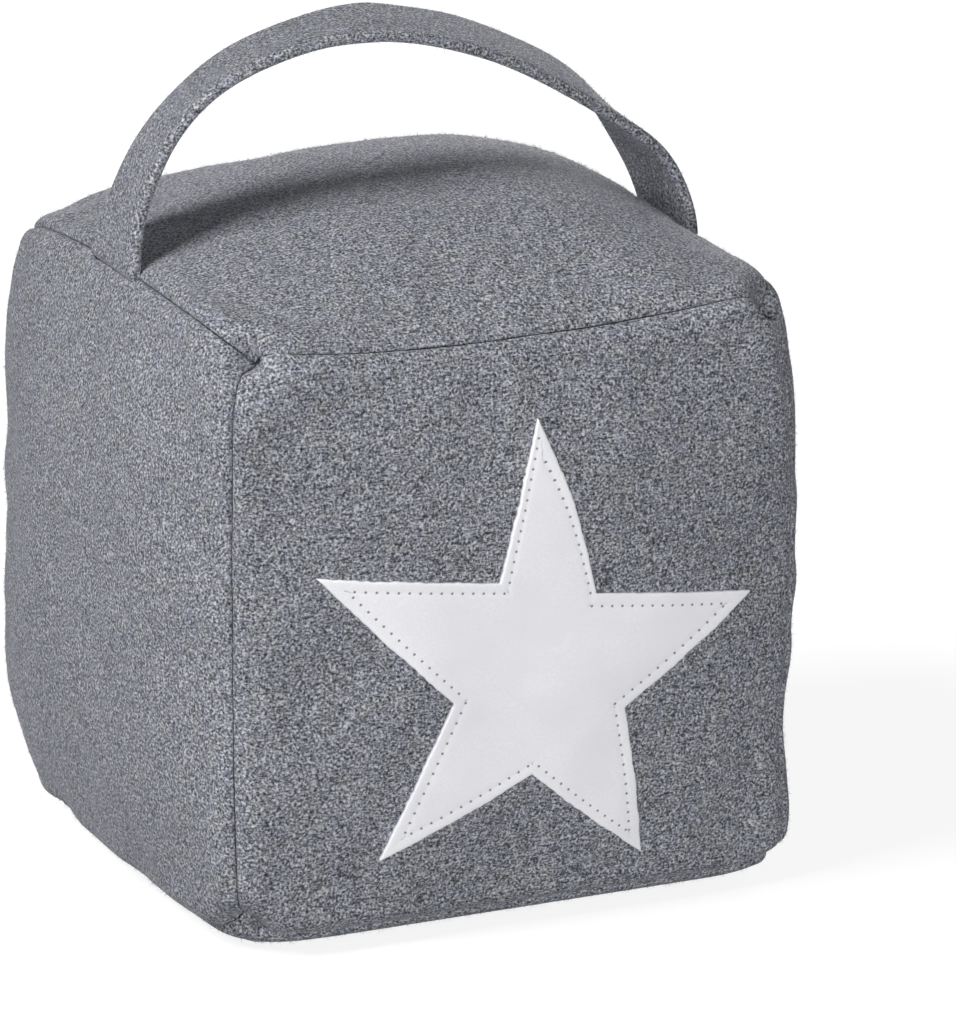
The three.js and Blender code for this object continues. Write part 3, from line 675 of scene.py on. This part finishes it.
# One felt panel: the outer face, the allowance turned in along the seams, and the inner face. Both faces
# are grids over the sharp cube's square, laid on the filled cube at the depth of the groove or of the
# felt, and their rims lie on the seam's middle plane, moved off it by half the gap
def makePanel(panel):
    out, firstAxis, secondAxis = axesOf(panel)
    firstHalf, secondHalf = halvesOf(panel)
    first, second = np.meshgrid(linesAcross(firstHalf), linesAcross(secondHalf), indexing="ij")
    rows, columns = first.shape
    firstDistance, secondDistance = fromSeam(firstHalf, first), fromSeam(secondHalf, second)
    nearest = np.minimum(firstDistance, secondDistance)
    rim, byRow = np.zeros(first.shape, bool), np.zeros(first.shape, bool)
    rim[[0, -1], :] = rim[:, [0, -1]] = byRow[[0, -1], :] = True
    base, normal = onRoundedCube(panel, first, second)
    reach = edgeArc + cover["standBack"]
    surface, drawn = filled(base), drawnIn(panel, first, second)
    lift = handmade(panel, first, second, surface, nearest)
    surface += drawn
    tight = pressed(surface)
    roll, opened = gathered(surface)
    gap = (cover["seamGap"] / 2 + opened) * np.minimum(tight, 1)
    shift = drawn + normal * lift[..., None]

    # How far the seams at both ends of an axis open for the strap
    def openingAlong(axis, line):
        lower, upper = seamOpening(out, -axis, base[..., 1]), seamOpening(out, axis, base[..., 1])
        return np.where(line < 0, lower, upper)

    # Lines beside a seam stand back from it by most of a shift
    def standBack(halfLength, line, distance, back):
        share = np.clip(1 - distance / reach, 0, None)
        return np.sign(line) * atDistance(halfLength, distance + back * share)

    # A point under the face, moved off the seam's middle plane
    def atSeam(depth, extra):
        offset = gap + np.where(byRow, firstOpen, secondOpen) + extra
        middle = base - normal * (depth + offset)[..., None]
        return filled(middle + out * (math.sqrt(2) * offset)[..., None]) + shift

    firstOpen, secondOpen = openingAlong(firstAxis, first), openingAlong(secondAxis, second)
    stoodFirst = standBack(firstHalf, first, firstDistance, firstOpen)
    stoodSecond = standBack(secondHalf, second, secondDistance, secondOpen)
    outer = onCover(panel, stoodFirst, stoodSecond, rollDepth(nearest, roll) * tight, nearest)
    outer = np.where(rim[..., None], atSeam(np.minimum(roll * tight, cover["deepest"]), 0), outer)
    back = cover["felt"] + cover["strapSlot"] + cover["innerClear"]
    deepFirst = standBack(firstHalf, first, firstDistance, back)
    deepSecond = standBack(secondHalf, second, secondDistance, back)
    inner = onCover(panel, deepFirst, deepSecond, np.full_like(nearest, cover["felt"]), nearest)
    inner = np.where(rim[..., None], atSeam(cover["felt"], cover["felt"]), inner)
    clipped = cover["cornerClip"] * np.clip(1 - np.maximum(firstDistance, secondDistance) / reach, 0, None)
    allowance = cover["allowance"] - clipped
    turned, cut = atSeam(allowance, 0), atSeam(allowance, cover["felt"])

    number = np.arange(rows * columns).reshape(rows, columns)
    loop = np.concatenate((number[:-1, 0], number[-1, :-1], number[:0:-1, -1], number[0, :0:-1]))
    size, around = rows * columns, len(loop)
    points = np.concatenate((outer.reshape(-1, 3), inner.reshape(-1, 3),
                             turned.reshape(-1, 3)[loop], cut.reshape(-1, 3)[loop]))
    turnedLoop = 2 * size + np.arange(around)
    cutLoop = turnedLoop + around
    faces = np.concatenate((
        gridFaces(rows, columns),
        bandFaces(loop, turnedLoop), bandFaces(turnedLoop, cutLoop), bandFaces(cutLoop, size + loop),
        gridFaces(rows, columns, size, turned=True),
    ))
    piece = makePiece(f"felt_panel_{panel}", points, faces, greyFelt)
    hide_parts(f"panel_{panel}")
    return outer


# Loose wool ends that stand out of the felt: straight three-sided spikes, rooted just under it, more of
# them lying than standing. They give the faces their hair and the outline its soft rim
nap = {"perSquareCm": 52, "length": (0.7, 2.1), "width": 0.11, "root": 0.12, "lean": (6, 52)}        # degrees


# Each spike's root is a random place of a random cell of the grid, drawn by its area, and its tip lies a
# random length away, in a random direction at a random lean from the surface
def makeNap(name, grid, seed, setup):
    rng = np.random.default_rng(seed)
    a, b, c, d = grid[:-1, :-1], grid[1:, :-1], grid[1:, 1:], grid[:-1, 1:]
    normal = np.cross(c - a, d - b).reshape(-1, 3)
    area = np.linalg.norm(normal, axis=1) / 2
    count = int(area.sum() / 100 * setup["perSquareCm"])        # 100 square mm each
    cell = rng.choice(len(area), count, p=area / area.sum())
    u, v = rng.uniform(size=(2, count, 1))
    a, b, c, d = (corner.reshape(-1, 3)[cell] for corner in (a, b, c, d))
    root = (1 - u) * ((1 - v) * a + v * d) + u * ((1 - v) * b + v * c)
    up = normal[cell] / np.linalg.norm(normal[cell], axis=1, keepdims=True)
    along = b - a
    along -= up * (along * up).sum(1, keepdims=True)
    along /= np.linalg.norm(along, axis=1, keepdims=True)
    turn = rng.uniform(0, 2 * math.pi, (count, 1))
    lying = along * np.cos(turn) + np.cross(up, along) * np.sin(turn)
    lean = np.radians(setup["lean"][0] + np.ptp(setup["lean"]) * rng.uniform(size=(count, 1)) ** 2)
    course = lying * np.cos(lean) + up * np.sin(lean)
    length = rng.uniform(*setup["length"], (count, 1))
    aside = np.cross(course, up)
    aside /= np.linalg.norm(aside, axis=1, keepdims=True)
    corners = [root - up * setup["root"]
               + (aside * math.cos(angle) + up * math.sin(angle)) * setup["width"] / 2
               for angle in (0, 2 * math.pi / 3, 4 * math.pi / 3)]
    points = np.stack((*corners, root + course * length), 1)
    points = points[points[..., 2].min(1) > 0]        # under the base they are pressed into the felt
    first = np.arange(len(points))[:, None] * 4
    faces = np.concatenate([first + np.array(face) for face in ((0, 1, 2), (0, 3, 1), (1, 3, 2), (2, 3, 0))])
    makePiece(name, points, faces, looseWool, smooth=False)


for seed, panel in enumerate(panelAxes):
    makeNap(f"wool_ends_{panel}", makePanel(panel), seed, nap)
print("six felt panels sewn")


# The handle: one band of felt folded with round edges, its tails caught in the side seams. It is wider
# at its feet, leans a little forward, and turns about its line
strap = {
    "width": 22.2, "footWidths": (27, 23.5), "footReach": 16, "thick": 3.0, "tail": 6.3, "stand": 0.6,
    "crest": (-9.2, 56.9), "leftPull": (4.6, 34), "crestLeftPull": 39.5,
    "crestRightPull": 18.5, "rightPull": (-7, 39.4), "lean": -3,
    "turns": [(0, 0), (0.2, -11.4), (0.5, 6.8), (0.79, 13), (0.92, -19), (1, -3)],        # share, degrees
    "turnBlend": 8,
    "wander": 0.35, "wanderWave": 24, "bulge": 0.175, "bulgeWave": 30,
    "steps": 70, "tailSteps": 7, "edgeSteps": 8, "acrossSteps": 14, "bareRings": 2,
}


# Where the strap crosses a side seam of the top, seen from the front, at a depth inside the seam
def inSideSeam(side, depth):
    point, normal = onRoundedCube("top", np.array(side * half[0]), np.array(0.0))
    return filled(point - normal * depth)[[0, 2]]


# A cubic curve from four points
def bezier(a, b, c, d, steps):
    t = np.linspace(0, 1, steps + 1)[:, None]
    return (1 - t) ** 3 * a + 3 * (1 - t) ** 2 * t * b + 3 * (1 - t) * t * t * c + t ** 3 * d


# A flat section with half-round edges is carried along two cubic curves that meet at the crest, with its
# width, lean and turn as functions of the share of the arch that is run
def makeStrap(setup):
    left, right = inSideSeam(-1, -setup["stand"]), inSideSeam(1, -setup["stand"])
    crest = np.array([setup["crest"][0], (left[1] + right[1]) / 2 + setup["crest"][1]])
    rising = bezier(left, left + setup["leftPull"], crest - (setup["crestLeftPull"], 0), crest,
                    setup["steps"])
    falling = bezier(crest, crest + (setup["crestRightPull"], 0), right + setup["rightPull"], right,
                     setup["steps"])
    tails = [np.linspace(inSideSeam(side, setup["tail"]), foot, setup["tailSteps"], endpoint=False)
             for side, foot in ((-1, left), (1, right))]
    line = np.concatenate((tails[0], rising, falling[1:], tails[1][::-1]))
    run = np.concatenate(([0], np.cumsum(np.linalg.norm(np.diff(line, axis=0), axis=1))))
    archStart, archEnd = run[len(tails[0])], run[-len(tails[1]) - 1]
    share = np.clip((run - archStart) / (archEnd - archStart), 0, 1)
    course = np.gradient(line, axis=0)
    course /= np.linalg.norm(course, axis=1, keepdims=True)
    outward = np.stack((-course[:, 1], np.zeros(len(line)), course[:, 0]), 1)
    turn = np.radians(np.interp(share, *zip(*setup["turns"])))
    blend = 2 * setup["turnBlend"] + 1
    turn = np.convolve(np.pad(turn, setup["turnBlend"], mode="edge"), np.full(blend, 1 / blend), mode="valid")
    turn = turn[:, None]
    aside = np.array((0, 1, 0)) * np.cos(turn) + outward * np.sin(turn)
    thick = outward * np.cos(turn) - np.array((0, 1, 0)) * np.sin(turn)
    middle = np.stack((line[:, 0], setup["lean"] * np.sin(math.pi * share), line[:, 1]), 1)
    narrowed = smoothStep(0, setup["footReach"], np.minimum(share, 1 - share) * (archEnd - archStart))
    footWidth = np.where(share < 0.5, *setup["footWidths"])
    width = footWidth + (setup["width"] - footWidth) * narrowed

    # The section: round, flat, round and flat again, as shares of the straight part's half and the radius
    radius = setup["thick"] / 2
    straight = (width / 2 - radius)[:, None]
    bend = np.linspace(-math.pi / 2, math.pi / 2, setup["edgeSteps"] + 1)
    flat = np.linspace(1, -1, setup["acrossSteps"] + 1)[1:-1]
    ends, level = np.ones(len(bend)), np.zeros(len(flat))
    ofStraight = np.concatenate((ends, flat, -ends, -flat))
    across = straight * ofStraight + radius * np.concatenate((np.cos(bend), level, -np.cos(bend), level))
    through = radius * np.concatenate((np.sin(bend), level + 1, -np.sin(bend), level - 1))
    points = middle[:, None] + aside[:, None] * across[..., None] + thick[:, None] * through[:, None]
    free = np.sin(math.pi * share)[:, None, None] ** 0.5
    wander = (setup["wander"] * uneven(points, setup["wanderWave"], seed=31))[..., None]
    points += aside[:, None] * wander * free * np.abs(ofStraight)[:, None]
    bulge = (setup["bulge"] * uneven(points, setup["bulgeWave"], seed=33))[..., None]
    points += thick[:, None] * bulge * free

    rings, size = points.shape[:2]
    number = np.arange(rings * size).reshape(rings, size)
    onwards = np.roll(number, -1, axis=1)
    sides = np.stack((number[:-1], onwards[:-1], onwards[1:], number[1:]), -1).reshape(-1, 4)
    faces = [*sides.tolist(), number[0][::-1].tolist(), number[-1].tolist()]
    piece = makePiece("felt_handle_strap", points, faces, greyFelt)
    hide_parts("handle_strap")
    bare = setup["tailSteps"] + setup["bareRings"]
    arch = points[bare:-bare]
    makeNap("wool_ends_strap", np.concatenate((arch, arch[:, :1]), 1)[::-1], 17, nap)


makeStrap(strap)
print("handle strap made")


# The star, cut by eye
star = {
    "middle": (2, 66.3), "thick": 1.0, "gap": 0.1,
    # its corners about its middle, tip and waist in turn from the top, and how far each side from there
    # to the next corner bows out
    "corners": [(0.9, 68.6), (14.8, 19.8), (57.6, 12.5), (22.6, -11.4), (29.2, -53.2),
                (-1.8, -25.4), (-40.6, -43.9), (-22.6, -3.9), (-56.7, 31.9), (-10.5, 26)],
    "bows": [1.2, 0.1, 0.4, 0.5, 0.2, 0.3, 0.2, 0.3, 0.2, 0.25],
    "cutWander": 0.07, "cutWaves": (11, 2.2), "fineShare": 1.1,
    # the stitching's distance from each side, at its start and its end
    "sewnIn": [(2.5, 1.6), (3.4, 2.9), (2.8, 2.8), (2.7, 2.7), (2.5, 2.6),
               (2.6, 2.9), (2.7, 2.7), (2.7, 2.7), (2.7, 2.6), (2.5, 0.95)],
    "groove": 0.1, "grooveWidth": 0.7, "softEdge": 0.16, "softWidth": 0.15,
    "insets": [0, 0.2, 0.5, 1.0, 1.5, 2.0, 2.4, 2.75, 3.1, 3.6, 4.5],
    "perSide": 56, "middleRings": 14, "smallestRing": 0.03, "innerReach": 20, "mapBelow": 50,
}


# The star's face is rings: its outline moved inwards by each inset, then the last one shrunk towards the
# middle, all laid on the front panel. A side is a straight line, bowed out by half a sine wave, whose cut
# wanders a little. The map "seam" holds the run along the outline and the distance from the edge, in mm,
# stretched so that the stitching's line lies at the same distance all along
def makeStar(setup, seamInset):
    corners = np.array(setup["corners"], float)[::-1]        # against the clock, seen from the front
    before, after = np.roll(corners, 1, 0), np.roll(corners, -1, 0)
    sideIn = corners - before
    sideIn /= np.linalg.norm(sideIn, axis=1, keepdims=True)
    sideOut = after - corners
    sideOut /= np.linalg.norm(sideOut, axis=1, keepdims=True)
    inIn = np.stack((-sideIn[:, 1], sideIn[:, 0]), 1)
    inOut = np.stack((-sideOut[:, 1], sideOut[:, 0]), 1)
    # A corner moves inwards so that both its sides move in by the inset
    mitre = (inIn + inOut) / (1 + (inIn * inOut).sum(1, keepdims=True))
    share = np.linspace(0, 1, setup["perSide"], endpoint=False)[:, None]
    bows = np.roll(np.array(setup["bows"], float)[::-1], -1)[:, None, None]
    coarse, fine = setup["cutWaves"]

    def outlineAt(inset):
        moved = corners + mitre * inset
        onwards = np.roll(moved, -1, 0)
        line = moved[:, None] + (onwards - moved)[:, None] * share
        wander = uneven(line, coarse, seed=41) + setup["fineShare"] * uneven(line, fine, seed=42)
        wander = wander[..., None] * np.sin(math.pi * share) ** 0.5
        bow = bows * np.sin(math.pi * share) + setup["cutWander"] * wander * math.exp(-inset)
        return (line - inOut[:, None] * bow).reshape(-1, 2)

    insets = np.array(setup["insets"], float)
    parallel = np.stack([outlineAt(inset) for inset in insets])
    shrink = np.linspace(1, setup["smallestRing"], setup["middleRings"])[1:]
    rings = np.concatenate((parallel, parallel[-1] * shrink[:, None, None]))
    inset = np.concatenate((insets, insets[-1] + setup["innerReach"] * (1 - shrink)))

    # Along each side the stitching is measured straight, and it runs on from side to side
    length = np.linalg.norm(after - corners, axis=1)
    startOfSide = np.concatenate(([0], np.cumsum(length)[:-1]))
    toSide = rings.reshape(len(rings), len(corners), -1, 2) - corners[:, None]
    runAlong = ((toSide * sideOut[:, None]).sum(-1) + startOfSide[:, None]).reshape(len(rings), -1)
    sewnIn = np.roll(np.array(setup["sewnIn"], float)[::-1, ::-1], -1, axis=0)
    sewnIn = sewnIn[:, :1] + (sewnIn[:, 1:] - sewnIn[:, :1]) * share.T
    fromSewn = (inset[:, None, None] - sewnIn + seamInset).reshape(len(rings), -1)
    place = rings + np.array(setup["middle"])

    def onFront(flat, height):
        return feltFace("front", flat[..., 0], flat[..., 1] - half[2], height)

    groove = setup["groove"] * np.exp(-((fromSewn - seamInset) / setup["grooveWidth"]) ** 2)
    softEdge = setup["softEdge"] * np.exp(-(inset[:, None] / setup["softWidth"]) ** 2)
    top = onFront(place, setup["gap"] + setup["thick"] - groove - softEdge)
    under = onFront(place, np.full(place.shape[:2], setup["gap"]))
    count, size = place.shape[:2]
    topNumber = np.arange(count * size).reshape(count, size)
    underNumber = topNumber + count * size

    def ringFaces(number, turned):
        onwards = np.roll(number, -1, axis=1)
        order = (number[:-1], onwards[:-1], onwards[1:], number[1:])
        return np.stack(order[::-1] if turned else order, -1).reshape(-1, 4).tolist()

    faces = ringFaces(topNumber, False) + ringFaces(underNumber, True)
    faces += bandFaces(topNumber[0], underNumber[0]).tolist()
    faces += [topNumber[-1].tolist(), underNumber[-1][::-1].tolist()]
    points = np.concatenate((top.reshape(-1, 3), under.reshape(-1, 3)))
    seam = np.stack((runAlong, fromSewn), -1).reshape(-1, 2)
    seamUnder = seam * (1, 0) + (0, setup["mapBelow"])        # far from the stitching's line
    piece = makePiece("star_applique_felt", points, faces, whiteFelt,
                      {"seam": np.concatenate((seam, seamUnder))})
    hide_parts("star_applique")


makeStar(star, whiteLook["inset"])
print("star sewn on")


# The studio, in metres: pale paper on the floor and pale air, and three soft boxes. The key is high at the
# left, in line with the strap, so the strap's shadow lies under it on the top. The fill is low in front,
# and the back one lights the sides that the photograph doesn't show
studio = {"paper": "#8e8e90", "paperGlow": 0.86, "air": 0.04, "floorHalf": 8.0, "lampAim": (0, 0, 0.08)}
lamps = {
    "key": {"place": (-1.58, -0.11, 1.78), "size": (1.0, 1.0), "watts": 51},
    "fill": {"place": (-0.66, -2.48, 0.36), "size": (1.4, 0.6), "watts": 44},
    "back": {"place": (1.3, 2.1, 0.36), "size": (1.4, 0.6), "watts": 40},
}


# 1 for what is seen straight, in gloss or through glass, and 0 for the light that falls on the object
def addSeen(tree):
    path = addNode(tree, "LightPath")
    seen = path.outputs["Is Camera Ray"]
    for ray in ("Is Glossy Ray", "Is Transmission Ray"):
        most = addNode(tree, "Math", {"operation": "MAXIMUM"}, links={0: seen, 1: path.outputs[ray]})
        seen = most.outputs[0]
    return seen


# Plain pale floor: it looks white to the camera, and keeps the object's shadow
def makeFloor(setup):
    material = bpy.data.materials.new("floor_paper")
    tree = emptyTree(material)
    strength = addNode(tree, "Math", {"operation": "MULTIPLY"}, {1: setup["paperGlow"]},
                       {0: addSeen(tree)})
    paper = addNode(tree, "BsdfDiffuse", values={"Color": linear(setup["paper"])})
    glow = addNode(tree, "Emission", links={"Strength": strength.outputs[0]})
    both = addNode(tree, "AddShader", links={0: paper.outputs[0], 1: glow.outputs[0]})
    addNode(tree, "OutputMaterial", links={"Surface": both.outputs[0]})
    mesh = bpy.data.meshes.new("floor")
    far = setup["floorHalf"]
    mesh.from_pydata([(-far, -far, 0), (far, -far, 0), (far, far, 0), (-far, far, 0)], [], [(0, 1, 2, 3)])
    mesh.materials.append(material)
    floor = bpy.data.objects.new("floor", mesh)
    bpy.context.scene.collection.objects.link(floor)


def makeWorld(setup):
    world = bpy.data.worlds.new("studio")
    bpy.context.scene.world = world
    tree = emptyTree(world)
    strength = addNode(tree, "MapRange", values={"To Min": setup["air"], "To Max": 1.0},
                       links={"Value": addSeen(tree)})
    air = addNode(tree, "Background", values={"Color": linear("#ffffff")},
                  links={"Strength": strength.outputs[0]})
    addNode(tree, "OutputWorld", links={"Surface": air.outputs[0]})


def makeLamps(setups, aim):
    for name, setup in setups.items():
        data = bpy.data.lights.new(name, "AREA")
        data.shape, data.energy = "RECTANGLE", setup["watts"]
        data.size, data.size_y = setup["size"]
        lamp = bpy.data.objects.new(name, data)
        bpy.context.scene.collection.objects.link(lamp)
        place = np.array(setup["place"])
        back = (place - aim) / np.linalg.norm(place - aim)
        right = np.cross((0, 0, 1), back)
        right /= np.linalg.norm(right)
        lamp.matrix_world = standing(right, np.cross(back, right), back, place)


makeFloor(studio)
makeWorld(studio)
makeLamps(lamps, studio["lampAim"])
bpy.context.scene.view_settings.view_transform = "Standard"
print("studio set")
